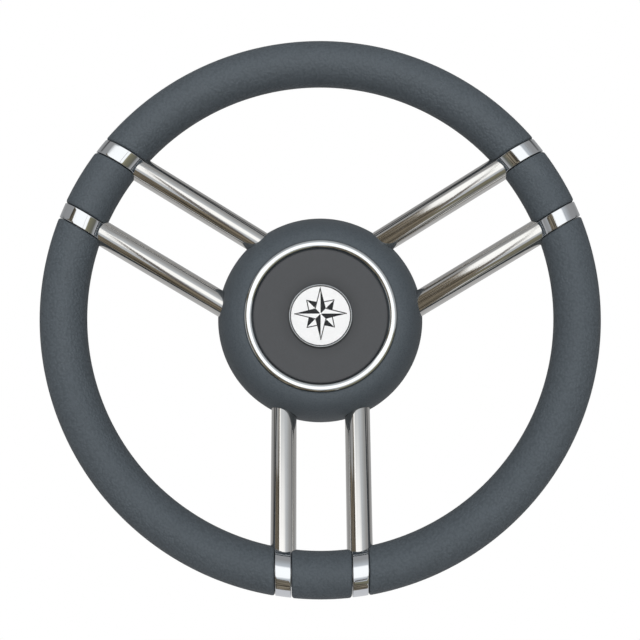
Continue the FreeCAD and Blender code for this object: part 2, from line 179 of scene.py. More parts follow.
class FrontSizes(bpy.types.PropertyGroup):
    ring: length("Ring radius", "Outside radius of the trim ring", reach("trim_ring"))
    ring_width: length("Ring width", "Width of the trim ring", 4.2 * MM)
    ring_crown: length("Ring crown", "Height of the ring's crowned top", 0.65 * MM)
    ring_crest: length("Ring crest", "Forward place of the ring's crest", RING_SPAN[1])
    cap: length("Cap radius", "Radius of the cap", reach("centre_cap"))
    cap_edge: length("Cap edge", "Forward place of the cap's edge", CAP_SPAN[1])
    cap_dish: length("Cap dish", "Depth of the cap's dish at the emblem", 1.1 * MM)
    cap_ease: length("Dish ease", "Width over which the dish rises from the emblem", 4.5 * MM)
    cap_round: length("Cap rounding", "Radius of the cap's edge", 1.2 * MM)
    cap_plate: length("Cap plate", "Thickness of the cap behind the emblem", 2.7 * MM)
    skirt: length("Skirt radius", "Outside radius of the cap's skirt", 35.7 * MM)
    skirt_wall: length("Skirt wall", "Wall of the cap's skirt", 1.7 * MM)
    skirt_end: length("Skirt end", "Forward place of the skirt's end", CAP_SPAN[0])
    slot_width: length("Slot width", "Width of the slots in the skirt", 4.0 * MM)
    snap_start: length("Snap start", "Forward place where the snap bead starts", 42.1 * MM)
    snap_width: length("Snap width", "Width of the snap bead", 1.8 * MM)
    snap_height: length("Snap height", "Height of the snap bead", 0.6 * MM)
    bezel: length("Bezel radius", "Outside radius of the emblem's bezel", reach("emblem_bezel"))
    bezel_wall: length("Bezel wall", "Wall of the emblem's bezel", 1.0 * MM)
    bezel_floor: length("Bezel floor", "Thickness of the bezel's floor", 1.0 * MM)
    bezel_seat: length("Bezel seat", "Forward place of the bezel's seat", BEZEL_SPAN[0])
    bezel_crest: length("Bezel crest", "Forward place of the bezel's crest", BEZEL_SPAN[1])
    face: length("Face radius", "Radius of the emblem's white face, a little past the solid's",
                 reach("emblem_face") + 0.25 * MM)
    face_round: length("Face rounding", "Radius of the white face's edge", 0.25 * MM)
    face_front: length("Face front", "Forward place of the emblem's face", FACE_SPAN[1])
    rose_long: length("Long point", "Length of the rose's long points", 16.6 * MM)
    rose_waist: length("Long waist", "Radius of the notches between long points", 4.7 * MM)
    rose_short: length("Short point", "Length of the rose's short points", 12.4 * MM)
    rose_short_waist: length("Short waist", "Radius of the short star's notches", 7.0 * MM)
    rose_rise: length("Rose rise", "Height of the rose's centre over the face's", 1.3 * MM)
    rose_thick: length("Rose thickness", "Thickness of the dark print", 0.1 * MM)
    rose_line: length("Rose line", "Width of the thin outlines", 0.6 * MM)


class Finishes(bpy.types.PropertyGroup):
    skin: colour("Moulded skin", "Grey-blue of the grips and the hub", (0.089, 0.106, 0.121))
    cap: colour("Cap", "Dark grey of the cap", (0.081, 0.084, 0.089))
    rear: colour("Rear cover", "Black of the rear cover", (0.012, 0.012, 0.013))
    steel: colour("Steel", "Tint of the polished tubes", (0.80, 0.79, 0.775))
    band: colour("Bands", "Tint of the polished bands", (0.77, 0.79, 0.82))
    chrome: colour("Chrome", "Tint of the bright trim", (0.85, 0.875, 0.895))
    # The bezel's tint is much darker than the trim's chrome: painted dark reflection standing in
    # for what the bezel mirrors.
    bezel: colour("Bezel", "Tint of the emblem's chrome bezel", (0.46, 0.48, 0.50))
    dull_steel: colour("Plain steel", "Tint of turned and drawn steel", (0.50, 0.50, 0.50))
    white: colour("Emblem white", "White of the emblem's face", (0.98, 0.985, 0.985))
    ink: colour("Emblem ink", "Dark of the compass rose", (0.010, 0.011, 0.013))


class StageSizes(bpy.types.PropertyGroup):
    camera_distance: length("Camera distance", "From the rim's middle to the camera", 0.782)
    camera_drop: slant("Camera drop", "Angle of the camera below the wheel's axis", 6.11)
    camera_turn: slant("Camera turn", "Angle of the camera left of the wheel's axis", 0.46)
    camera_roll: slant("Camera roll", "Roll of the camera", -0.24)
    aim_drop: length("Aim drop", "How far below the wheel's axis the camera aims", 3.52 * MM)
    aim_left: length("Aim left", "How far left of the wheel's axis the camera aims", 0.42 * MM)
    lens: bpy.props.FloatProperty(name="Lens", description="Focal length in millimetres",
                                  default=70.4)
    floor_drop: length("Floor drop", "Floor below the wheel's axis", 0.60)
    floor_size: length("Floor size", "Radius of the round floor", 3.0)


GROUPS = {
    "wheel_rim": RimSizes, "wheel_spokes": SpokeSizes, "wheel_hub": HubSizes,
    "wheel_front": FrontSizes, "wheel_finishes": Finishes, "wheel_stage": StageSizes,
}


def settings(group):
    """Sizes or finishes of one group, as the sidebar shows them."""
    return getattr(bpy.context.scene, "wheel_" + group)


# Outlines: lists of (radius, forward) points

def rounded(start, corner, end, steps=6):
    """Points of a quarter ellipse that turns the corner, from start to end."""
    start, corner, end = Vector(start), Vector(corner), Vector(end)
    centre = start + end - corner
    turns = [math.pi / 2 * step / steps for step in range(steps + 1)]
    return [centre + (start - centre) * math.cos(turn) + (end - centre) * math.sin(turn)
            for turn in turns]


def swelling(start, pull, end, steps=16):
    """Points of a gentle curve that leaves towards the pull point and arrives from it."""
    start, pull, end = Vector(start), Vector(pull), Vector(end)
    shares = [step / steps for step in range(steps + 1)]
    return [start * (1 - t) ** 2 + pull * 2 * t * (1 - t) + end * t ** 2 for t in shares]


def crowned(outer, inner, crest, crown, steps=20):
    """Points of an arc from the outer side over the crest to the inner side."""
    middle = (outer + inner) / 2
    half = (outer - inner) / 2
    radius = (half ** 2 + crown ** 2) / (2 * crown)
    spread = math.asin(half / radius) if crown < half else math.pi / 2
    turns = [spread - 2 * spread * step / steps for step in range(steps + 1)]
    return [(middle + radius * math.sin(turn), crest - radius + radius * math.cos(turn))
            for turn in turns]


def evenly(start, end, steps):
    """Points between two points, without the first and the last."""
    start, end = Vector(start), Vector(end)
    return [start.lerp(end, step / steps) for step in range(1, steps)]


# Meshes

def turn_round(shape, corners, axis, steps, closed=True):
    """Turns a row of corners about an axis into a surface."""
    ends = corners[1:] + corners[:1] if closed else corners[1:]
    edges = [shape.edges.new(pair) for pair in zip(corners, ends)]
    bmesh.ops.spin(shape, geom=corners + edges, cent=(0, 0, 0), axis=axis,
                   angle=math.tau, steps=steps, use_merge=True, use_duplicate=False)
    bmesh.ops.remove_doubles(shape, verts=shape.verts, dist=WELD_DISTANCE)


def spun(outline, steps, closed=True):
    """Turns an outline of (radius, forward) points about the wheel's axis."""
    shape = bmesh.new()
    corners = [shape.verts.new((radius, -forward, 0.0)) for radius, forward in outline]
    turn_round(shape, corners, (0, 1, 0), steps, closed)
    bmesh.ops.recalc_face_normals(shape, faces=shape.faces)
    return shape


def turned_bar(outline, steps):
    """Straight bar along X, turned from an outline of (length, radius) points.

    Its UV map gives the distance along the bar and round it, in metres.
    """
    shape = bmesh.new()
    corners = [shape.verts.new((along, radius, 0.0)) for along, radius in outline]
    turn_round(shape, corners, (1, 0, 0), steps)
    widest = max(radius for along, radius in outline)
    layer = shape.loops.layers.uv.new(BAR_MAP)
    for face in shape.faces:
        middle = face.calc_center_median()
        home = math.atan2(middle.z, middle.y)
        for loop in face.loops:
            turn = math.atan2(loop.vert.co.z, loop.vert.co.y)
            turn += math.tau * round((home - turn) / math.tau)
            loop[layer].uv = (loop.vert.co.x, turn * widest)
    return shape


def move(shape, place):
    """Puts each vertex where place() says."""
    for vertex in shape.verts:
        vertex.co = place(vertex.co)
    bmesh.ops.recalc_face_normals(shape, faces=shape.faces)


def add_rod(shape, radius, start, end, steps=64):
    """Adds a closed rod between two points."""
    start, end = Vector(start), Vector(end)
    along = end - start
    turn = along.to_track_quat("Z", "Y").to_matrix().to_4x4()
    place = Matrix.Translation((start + end) / 2) @ turn
    bmesh.ops.create_cone(shape, cap_ends=True, segments=steps, radius1=radius,
                          radius2=radius, depth=along.length, matrix=place)


def add_block(shape, low, high, angle=0.0):
    """Adds a box, turned about the wheel's axis by an angle in degrees."""
    low, high = Vector(low), Vector(high)
    size = Matrix.Diagonal(high - low).to_4x4()
    turn = Matrix.Rotation(-math.radians(angle), 4, "Y")
    place = turn @ Matrix.Translation((low + high) / 2) @ size
    bmesh.ops.create_cube(shape, size=1.0, matrix=place)


def as_object(name, shape):
    mesh = bpy.data.meshes.new(name)
    shape.to_mesh(mesh)
    shape.free()
    piece = bpy.data.objects.new(name, mesh)
    bpy.context.scene.collection.objects.link(piece)
    return piece


def carve(piece, shape):
    """Cuts the shape out of the piece."""
    bmesh.ops.recalc_face_normals(shape, faces=shape.faces)
    cutter = as_object("cutter", shape)
    cut = piece.modifiers.new("cut", "BOOLEAN")
    cut.operation = "DIFFERENCE"
    cut.solver = "EXACT"
    cut.object = cutter
    graph = bpy.context.evaluated_depsgraph_get()
    carved = bpy.data.meshes.new_from_object(piece.evaluated_get(graph))
    piece.modifiers.clear()
    piece.data = carved
    bpy.data.objects.remove(cutter)


def finish(piece, material, nodes, sharp=35.0):
    """Shades a piece, gives it its material and makes it stand for its nodes."""
    mesh = piece.data
    mesh.shade_smooth()
    mesh.set_sharp_from_angle(angle=math.radians(sharp))
    mesh.materials.clear()
    mesh.materials.append(material)
    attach(piece, "root")
    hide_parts(*nodes)


# Places on the wheel

def spoke_places():
    """Name, pair angle and side of each of the six spokes."""
    for name, angle in PAIR_ANGLES.items():
        yield name + "_1", angle, 1
        yield name + "_2", angle, -1


def outward(angle):
    """Direction away from the wheel's axis at an angle, in degrees."""
    turn = math.radians(angle)
    return Vector((math.cos(turn), 0.0, math.sin(turn)))


def sideways(angle):
    """Direction across a spoke pair, anticlockwise as the helmsman sees it."""
    turn = math.radians(angle)
    return Vector((-math.sin(turn), 0.0, math.cos(turn)))


def rim_middle():
    """Radius of the circle through the middle of the rim's section."""
    rim = settings("rim")
    return rim.outer - rim.grip


def spoke_point(angle, side, distance):
    """Point on a spoke's centre line at a distance along the pair's direction."""
    rim = settings("rim")
    spokes = settings("spokes")
    seat = math.sqrt(rim_middle() ** 2 - spokes.half_spacing ** 2)
    forward = rim.forward + spokes.lift - (seat - distance) * math.tan(spokes.rise)
    flat = outward(angle) * distance + sideways(angle) * side * spokes.half_spacing
    return flat + Vector((0.0, -forward, 0.0))


def spoke_cutter(pairs):
    """Rods that clear the passages of spokes, given as (angle, side) pairs."""
    spokes = settings("spokes")
    shape = bmesh.new()
    start = settings("hub").drum / 2
    end = rim_middle() - spokes.setback / 2
    for angle, side in pairs:
        add_rod(shape, spokes.radius + spokes.clearance,
                spoke_point(angle, side, start), spoke_point(angle, side, end), steps=96)
    return shape


def on_rim(point, angle, lean):
    """Bends a straight bar's point on to the rim.

    The bar's length runs round the rim, its Y points outwards and its Z forwards. The ring
    of the point lies in a plane along the direction at the lean angle.
    """
    rim = settings("rim")
    middle = rim_middle()
    offset = middle * math.sin(math.radians(angle - lean))
    flat = math.sqrt((middle + point.y) ** 2 - offset ** 2)
    place = outward(lean) * flat + sideways(lean) * offset
    return place + Vector((0.0, -rim.forward - point.z, 0.0))


def across_pair(angle):
    """Placing of a bar that lies across a spoke pair, centred on it."""
    def place(point):
        turn = math.degrees(math.asin(point.x / rim_middle()))
        return on_rim(point, angle + turn, angle)
    return place


def round_between(start, end, lean_over=18.0):
    """Placing of a bar from one angle to another, whose ends lie along the spoke pairs."""
    def place(point):
        angle = start + math.degrees(point.x / rim_middle())
        home = start if angle - start < end - angle else end
        share = min(abs(angle - home) / lean_over, 1.0)
        first = min(abs(bar_edge_angle()) / lean_over, 1.0)
        share = max(0.0, (share - first) / (1.0 - first))
        ease = share * share * (3 - 2 * share)
        return on_rim(point, angle, home + (angle - home) * ease)
    return place


def bar_edge_angle():
    """Angle between a spoke pair's direction and the start of the long grip beside it."""
    rim = settings("rim")
    spokes = settings("spokes")
    offset = spokes.half_spacing + rim.band_width / 2 + rim.band_gap
    return math.degrees(math.asin(offset / rim_middle()))


def sleeve(start, end, radius, rounding, spacing):
    """Outline of a moulded sleeve round the core, with rounded ends."""
    rim = settings("rim")
    bore = rim.core + rim.mould_gap
    steps = max(2, round((end - start - 2 * rounding) / spacing))
    outline = rounded((start, radius - rounding), (start, radius),
                      (start + rounding, radius), steps=5)
    outline += evenly((start + rounding, radius), (end - rounding, radius), steps)
    outline += rounded((end - rounding, radius), (end, radius),
                       (end, radius - rounding), steps=5)
    outline += [(end, bore)]
    outline += evenly((end, bore), (start, bore), steps)
    return outline + [(start, bore)]


# Shader nodes

# How far the pebbles of the grain are shifted at most
GRAIN_WARP = 0.9 * MM


class Output:
    """A node's output, which can be added, multiplied and compared like a number."""

    def __init__(self, made, name=0):
        self.tree = made.id_data
        self.socket = made.outputs[name]

    def __add__(self, other):
        return calculate("ADD", self, other)

    def __sub__(self, other):
        return calculate("SUBTRACT", self, other)

    def __mul__(self, other):
        return calculate("MULTIPLY", self, other)

    def __truediv__(self, other):
        return calculate("DIVIDE", self, other)

    def __abs__(self):
        return calculate("ABSOLUTE", self)

    def __lt__(self, other):
        return calculate("LESS_THAN", self, other)

    def __gt__(self, other):
        return calculate("GREATER_THAN", self, other)


def feed(target, inputs):
    """Sets a node's inputs from values, or links them to outputs."""
    for name, source in inputs.items():
        if isinstance(source, Output):
            target.id_data.links.new(source.socket, target.inputs[name])
        else:
            target.inputs[name].default_value = source


def node(tree, kind, inputs=None, **choices):
    """Adds a node with its choices and inputs."""
    made = tree.nodes.new(kind)
    for key, value in choices.items():
        setattr(made, key, value)
    feed(made, inputs or {})
    return made


def calculate(operation, first, second=0.0):
    """Outcome of a sum, of which the first part is an output."""
    return Output(node(first.tree, "ShaderNodeMath", {0: first, 1: second},
                       operation=operation))


def least(first, second):
    return calculate("MINIMUM", first, second)


def most(first, second):
    return calculate("MAXIMUM", first, second)


def distance(across, up):
    """Distance from the middle, where both are 0."""
    return calculate("SQRT", across * across + up * up)


def between(share, low, high):
    """Colour between two, by a share."""
    return Output(node(share.tree, "ShaderNodeMix", {"Factor": share, 6: low, 7: high},
                       data_type="RGBA"), 2)


def mixed(share, first, second):
    """Shader between two shader nodes, by a share."""
    return Output(node(share.tree, "ShaderNodeMixShader",
                       {0: share, 1: Output(first), 2: Output(second)}))


def ranged(source, low, high, new_low, new_high, ease="LINEAR"):
    """Stretches what lies between low and high to a new range, and holds it there."""
    return Output(node(source.tree, "ShaderNodeMapRange",
                       {"Value": source, "From Min": low, "From Max": high,
                        "To Min": new_low, "To Max": new_high}, interpolation_type=ease),
                  "Result")


def rising(source, low, high):
    """0 up to low, 1 from high on."""
    return ranged(source, low, high, 0.0, 1.0)


def falling(source, low, high, ease="LINEAR"):
    """1 up to low, 0 from high on."""
    return ranged(source, low, high, 1.0, 0.0, ease)


def value_between(share, low, high):
    """Value between two, by a share."""
    return ranged(share, 0.0, 1.0, low, high)


def noise(vector, scale, detail=3.0, roughness=0.6):
    """Cloudy noise, as a value about 0.5."""
    return Output(node(vector.tree, "ShaderNodeTexNoise",
                       {"Vector": vector, "Scale": scale, "Detail": detail,
                        "Roughness": roughness}), "Fac")


def pebble_grain(vector, cells):
    """Height and creases of a moulded leather grain of rounded pebbles."""
    warp = node(vector.tree, "ShaderNodeTexNoise", {"Vector": vector, "Scale": cells * 0.6})
    shifted = node(vector.tree, "ShaderNodeVectorMath",
                   {0: Output(warp, "Color"), 1: (GRAIN_WARP,) * 3, 2: vector},
                   operation="MULTIPLY_ADD")
    pebbles = node(vector.tree, "ShaderNodeTexVoronoi",
                   {"Vector": Output(shifted), "Scale": cells, "Smoothness": 0.35},
                   feature="SMOOTH_F1")
    fine = noise(vector, cells * 2.6)
    height = falling(Output(pebbles, "Distance"), 0.1, 0.75) + fine * 0.35
    return height, falling(height, 0.1, 0.7)


def soft_mottle(vector, scale):
    """Slow unevenness of a moulded or polished surface, in two sizes."""
    broad = noise(vector, scale, detail=2.0, roughness=0.5)
    both = noise(vector, scale * 9.0) * 0.4 + broad * 0.6
    return (rising(both, 0.3, 0.7),)


def polish_marks(vector, stretch):
    """Faint marks that polishing leaves along a surface, and finger smudges."""
    stretched = Output(node(vector.tree, "ShaderNodeMapping",
                            {"Vector": vector, "Scale": stretch}))
    marks = noise(stretched, 900.0, detail=4.0, roughness=0.65)
    return rising(marks, 0.3, 0.7), rising(noise(vector, 45.0), 0.45, 0.75)


# What fills each shared group, its own input beside the vector, and its outputs
SHARED_GROUPS = {
    "Pebble grain": (pebble_grain, "Cells", "NodeSocketFloat", ("Height", "Crease")),
    "Soft mottle": (soft_mottle, "Scale", "NodeSocketFloat", ("Mottle",)),
    "Polish marks": (polish_marks, "Stretch", "NodeSocketVector", ("Marks", "Smudges")),
}


def shared_group(name):
    """Node group that several materials place, built once."""
    if name in bpy.data.node_groups:
        return bpy.data.node_groups[name]
    fill, label, kind, results = SHARED_GROUPS[name]
    group = bpy.data.node_groups.new(name, "ShaderNodeTree")
    group.interface.new_socket(name="Vector", in_out="INPUT", socket_type="NodeSocketVector")
    group.interface.new_socket(name=label, in_out="INPUT", socket_type=kind)
    for result in results:
        group.interface.new_socket(name=result, in_out="OUTPUT",
                                   socket_type="NodeSocketFloat")
    given = node(group, "NodeGroupInput")
    filled = fill(Output(given, "Vector"), Output(given, label))
    node(group, "NodeGroupOutput", dict(zip(results, filled)))
    return group


def placed(name, place, value):
    """Outputs of a shared group placed in a material, with the material's own value."""
    label = SHARED_GROUPS[name][1]
    made = node(place.tree, "ShaderNodeGroup", {"Vector": place, label: value},
                node_tree=shared_group(name))
    return [Output(made, number) for number in range(len(made.outputs))]


# Materials

# Width over which a groove turns black, and that black: painted shade in the groove
GROOVE_EDGE = 0.05 * MM
GROOVE_PAINTED_SHADE = (0.02, 0.02, 0.02, 1.0)


def bare_material(name):
    """Material, its output node and its object coordinates."""
    material = bpy.data.materials.new(name)
    material.use_nodes = True
    tree = material.node_tree
    tree.nodes.clear()
    output = node(tree, "ShaderNodeOutputMaterial")
    return material, output, Output(node(tree, "ShaderNodeTexCoord"), "Object")


def new_material(name):
    """Material, its Principled BSDF and its object coordinates."""
    material, output, place = bare_material(name)
    surface = node(place.tree, "ShaderNodeBsdfPrincipled")
    feed(output, {"Surface": Output(surface)})
    return material, surface, place


def built_once(build):
    """Lets a material's function give back the material that already has the name."""
    def found_or_built(name, *values, **named):
        return bpy.data.materials.get(name) or build(name, *values, **named)
    return found_or_built


def shaded(base, factor):
    """An opaque colour, darker or lighter by a factor."""
    return tuple(min(1.0, part * factor) for part in base) + (1.0,)


def toned(share, base, darker, lighter):
    """A colour from one shade of the base to another, by a share."""
    return between(share, shaded(base, darker), shaded(base, lighter))


def bumped(surface, height, depth):
    """Gives a surface relief, from a height and its depth in metres."""
    bump = node(surface.id_data, "ShaderNodeBump",
                {"Height": height, "Distance": depth, "Strength": 1.0})
    feed(surface, {"Normal": Output(bump)})


def off_axis(place):
    """Distance from the wheel's axis."""
    parts = node(place.tree, "ShaderNodeSeparateXYZ", {0: place})
    return distance(Output(parts, "X"), Output(parts, "Z"))


@built_once
def moulded_skin(name, base, cells, depth):
    """Self-skinned polyurethane with a moulded leather grain."""
    material, surface, place = new_material(name)
    height, crease = placed("Pebble grain", place, cells)
    mottle = placed("Soft mottle", place, 38.0)[0]
    plain = toned(mottle, base, 0.93, 1.07)
    # The grain's creases are coloured darker: painted shade in the hollows of the grain.
    feed(surface, {"Base Color": between(crease * 0.45, plain, shaded(base, 0.62)),
                   "Roughness": value_between(mottle, 0.50, 0.60),
                   "Specular IOR Level": 0.35})
    bumped(surface, height, depth)
    return material


@built_once
def polished_metal(name, base, stretch, depth, on_uv=False, groove=0.0):
    """Mirror-bright metal with polishing marks and smudges, with painted black shade inside a
    groove's radius.
    """
    material, surface, place = new_material(name)
    if on_uv:
        lengthwise = node(place.tree, "ShaderNodeUVMap", uv_map=BAR_MAP)
        place = Output(lengthwise, "UV")
    marks, smudges = placed("Polish marks", place, stretch)
    tint = toned(smudges, base, 1.0, 0.95)
    if groove:
        # Painted shade: inside the groove's radius the colour turns black.
        inside = falling(off_axis(place), groove - GROOVE_EDGE, groove)
        tint = between(inside, tint, GROOVE_PAINTED_SHADE)
    feed(surface, {"Base Color": tint, "Metallic": 1.0,
                   "Roughness": value_between(marks, 0.03, 0.075) + smudges * 0.03})
    bumped(surface, marks, depth)
    return material


@built_once
def moulded_plastic(name, base, grain, depth, roughness, shade_from=0.0, shade_to=0.0):
    """Fine-grained moulded plastic, with painted shade that darkens it towards the axis where
    the dish falls to the emblem.
    """
    material, surface, place = new_material(name)
    mottle = placed("Soft mottle", place, 30.0)[0]
    specks = noise(place, grain)
    plain = toned(mottle, base, 0.94, 1.05)
    tint = between(ranged(specks, 0.35, 0.65, 0.0, 0.3), plain, shaded(base, 0.72))
    if shade_to:
        # Painted shade of the dish round the emblem: the colour darkens towards the axis.
        painted_shade = falling(off_axis(place), shade_from, shade_to, "SMOOTHSTEP")
        tint = between(painted_shade, tint, shaded(base, 0.82))
    feed(surface, {"Base Color": tint,
                   "Roughness": value_between(mottle, roughness - 0.05, roughness + 0.05),
                   "Specular IOR Level": 0.3})
    bumped(surface, specks, depth)
    return material


@built_once
def gloss_enamel(name, base):
    """Glossy enamel or print."""
    material, surface, place = new_material(name)
    mottle = placed("Soft mottle", place, 60.0)[0]
    feed(surface, {"Base Color": toned(mottle, base, 0.97, 1.03),
                   "Roughness": value_between(mottle, 0.22, 0.30),
                   "Specular IOR Level": 0.25})
    return material


@built_once
def dull_metal(name, base):
    """Drawn or turned metal, unpolished."""
    material, surface, place = new_material(name)
    marks = placed("Polish marks", place, (1.0, 6.0, 1.0))[0]
    feed(surface, {"Base Color": toned(marks, base, 0.86, 1.08),
                   "Metallic": 1.0, "Roughness": value_between(marks, 0.28, 0.42)})
    bumped(surface, marks, 0.02 * MM)
    return material


def grip_skin():
    return moulded_skin("Grip skin", settings("finishes").skin, cells=620.0, depth=0.26 * MM)


def short_grip_skin():
    return moulded_skin("Short grip skin", settings("finishes").skin, cells=760.0,
                        depth=0.20 * MM)


def tube_steel():
    return polished_metal("Mirror steel tube", settings("finishes").steel,
                          stretch=(0.02, 1.0, 1.0), depth=0.002 * MM, on_uv=True)


def band_steel():
    return polished_metal("Mirror steel band", settings("finishes").band,
                          stretch=(1.0, 0.08, 1.0), depth=0.001 * MM, on_uv=True)


def trim_chrome():
    return polished_metal("Bright trim", settings("finishes").chrome,
                          stretch=(0.3, 1.0, 0.3), depth=0.001 * MM)


def bezel_chrome(groove):
    return polished_metal("Bezel chrome", settings("finishes").bezel,
                          stretch=(0.3, 1.0, 0.3), depth=0.001 * MM, groove=groove)


def plain_steel():
    return dull_metal("Plain steel", settings("finishes").dull_steel)


# Pieces of the rim

class WHEEL_OT_grips(bpy.types.Operator):
    """Model the moulded grips round the rim"""
    bl_idname = "wheel.grips"
    bl_label = "Grips"

    def execute(self, context):
        for name, (start, end) in LONG_GRIPS.items():
            self.long_grip(name, start, end)
        for name, angle in PAIR_ANGLES.items():
            self.short_grip(name, angle)
        return {"FINISHED"}

    def long_grip(self, name, start, end):
        rim = settings("rim")
        edge = bar_edge_angle()
        low = math.radians(edge) * rim_middle()
        high = math.radians(end - start - edge) * rim_middle()
        outline = sleeve(low, high, rim.grip, rim.grip_end_round, spacing=2.2 * MM)
        shape = turned_bar(outline, steps=88)
        move(shape, round_between(start, end))
        piece = as_object("moulded_long_grip_" + name, shape)
        carve(piece, spoke_cutter([(start, 1), (end, -1)]))
        finish(piece, grip_skin(), ["long_grip_" + name])

    def short_grip(self, name, angle):
        rim = settings("rim")
        spokes = settings("spokes")
        half = spokes.half_spacing - rim.band_width / 2 - rim.band_gap
        outline = sleeve(-half, half, rim.grip, rim.grip_end_round, spacing=1.8 * MM)
        shape = turned_bar(outline, steps=96)
        move(shape, across_pair(angle))
        piece = as_object("moulded_short_grip_" + name, shape)
        carve(piece, spoke_cutter([(angle, 1), (angle, -1)]))
        finish(piece, short_grip_skin(), ["short_grip_" + name])


class WHEEL_OT_bands(bpy.types.Operator):
    """Model the mirror bands over the ends of the spokes"""
    bl_idname = "wheel.bands"
    bl_label = "Bands"

    def execute(self, context):
        for name, angle, side in spoke_places():
            self.band(name, angle, side)
        return {"FINISHED"}

    def band(self, name, angle, side):
        rim = settings("rim")
        middle = side * settings("spokes").half_spacing
        half = rim.band_width / 2
        outline = sleeve(middle - half, middle + half, rim.band, rim.band_round,
                         spacing=0.9 * MM)
        shape = turned_bar(outline, steps=144)
        move(shape, across_pair(angle))
        piece = as_object("mirror_band_" + name, shape)
        carve(piece, spoke_cutter([(angle, side)]))
        finish(piece, band_steel(), ["band_" + name])


# Spokes

# How far along a tube its cut end may reach, as a share of the drum's radius
COPED_SHARE = 1.2


class WHEEL_OT_spokes(bpy.types.Operator):
    """Model the polished tubes"""
    bl_idname = "wheel.spokes"
    bl_label = "Spokes"

    def execute(self, context):
        for name, angle, side in spoke_places():
            self.spoke(name, angle, side)
        return {"FINISHED"}

    def spoke(self, name, angle, side):
        rim = settings("rim")
        spokes = settings("spokes")
        hub = settings("hub")
        radius = spokes.radius
        inner = radius - spokes.wall
        start = spoke_point(angle, side, hub.drum / 2)
        end = spoke_point(angle, side, rim_middle() - 2 * spokes.setback)
        tube = (end - start).length
        coped = COPED_SHARE * hub.drum
        outline = [(0.0, inner), (0.0, radius), (coped, radius)]
        outline += evenly((coped, radius), (tube - radius, radius), steps=8)
        outline += [(tube - radius, radius), (tube, radius), (tube, inner)]
        shape = turned_bar(outline, steps=128)
        along = (end - start).normalized()
        turn = along.to_track_quat("X", "Z").to_matrix()
        move(shape, lambda point: start + turn @ point)
        piece = as_object("polished_tube_" + name, shape)
        drum = bmesh.new()
        add_rod(drum, hub.drum + rim.mould_gap / 2, BEHIND_HUB, BEFORE_HUB, steps=192)
        carve(piece, drum)
        carve(piece, self.core_cutter())
        finish(piece, tube_steel(), ["spoke_" + name])

    def core_cutter(self):
        rim = settings("rim")
        radius = rim.core + rim.mould_gap / 2
        steps = 48
        turns = [math.tau * step / steps for step in range(steps)]
        outline = [(rim_middle() + radius * math.cos(turn),
                    rim.forward + radius * math.sin(turn)) for turn in turns]
        return spun(outline, steps=288)


# Hub

# The hub is a little darker than the grips
HUB_SHADE = 0.97


class WHEEL_OT_hub_shell(bpy.types.Operator):
    """Model the moulded shell of the hub"""
    bl_idname = "wheel.hub_shell"
    bl_label = "Hub shell"

    def execute(self, context):
        hub = settings("hub")
        rim = settings("rim")
        recess = settings("front").ring + rim.mould_gap
        rear = hub.shell_rear
        bore = hub.drum + rim.mould_gap
        cover = hub.cover + hub.seat_gap
        lip = recess + hub.lip_round
        outline = rounded((rear - hub.rear_round, 0.0), (rear, 0.0), (rear, hub.rear_round))
        outline += swelling((rear, hub.rear_round), (hub.shell, hub.shell_widest / 2),
                            (hub.shell, hub.shell_widest), steps=20)[1:]
        outline += rounded((hub.shell, hub.shell_widest), (hub.shell, hub.shell_front),
                           (lip, hub.shell_front), steps=28)[1:]
        outline += rounded((lip, hub.shell_front), (recess, hub.shell_front),
                           (recess, hub.shell_front - hub.lip_round))[1:]
        outline += [(recess, hub.floor), (hub.mouth, hub.floor), (hub.mouth, hub.drum_front),
                    (bore, hub.drum_front), (bore, hub.cover_thick),
                    (cover, hub.cover_thick), (cover, 0.0)]
        piece = as_object("moulded_hub_shell", spun(outline, steps=240))
        for angle in PAIR_ANGLES.values():
            for side in (-1, 1):
                carve(piece, spoke_cutter([(angle, side)]))
        carve(piece, screw_hole_cutter())
        base = tuple(part * HUB_SHADE for part in settings("finishes").skin)
        skin = moulded_skin("Hub skin", base, cells=1050.0, depth=0.09 * MM)
        finish(piece, skin, ["hub_shell"])
        return {"FINISHED"}


def screw_outline(spare):
    """Outline of a countersunk screw, as (radius, forward) from its own axis."""
    hub = settings("hub")
    head = hub.screw_head + spare
    shank = hub.screw_shank + spare
    sunk, end = SCREW_SPAN
    cone = sunk + head - shank
    return [(0.0, sunk), (head, sunk), (shank, cone), (shank, end + spare - shank),
            (0.0, end + spare)]


def screw_shape(spare):
    """Countersunk screws on their circle, with spare all round."""
    hub = settings("hub")
    shape = bmesh.new()
    for angle in SCREW_ANGLES:
        one = spun(screw_outline(spare), steps=40, closed=False)
        bmesh.ops.translate(one, verts=one.verts, vec=outward(angle) * hub.screw_circle)
        mesh = bpy.data.meshes.new("screw")
        one.to_mesh(mesh)
        one.free()
        shape.from_mesh(mesh)
        bpy.data.meshes.remove(mesh)
    return shape


def screw_hole_cutter():
    """Holes for the cover's screws, open at the back."""
    hub = settings("hub")
    shape = screw_shape(settings("rim").mould_gap)
    for vertex in shape.verts:
        if abs(-vertex.co.y - SCREW_SPAN[0]) < WELD_DISTANCE:
            vertex.co.y = 2 * hub.cover_round
    return shape


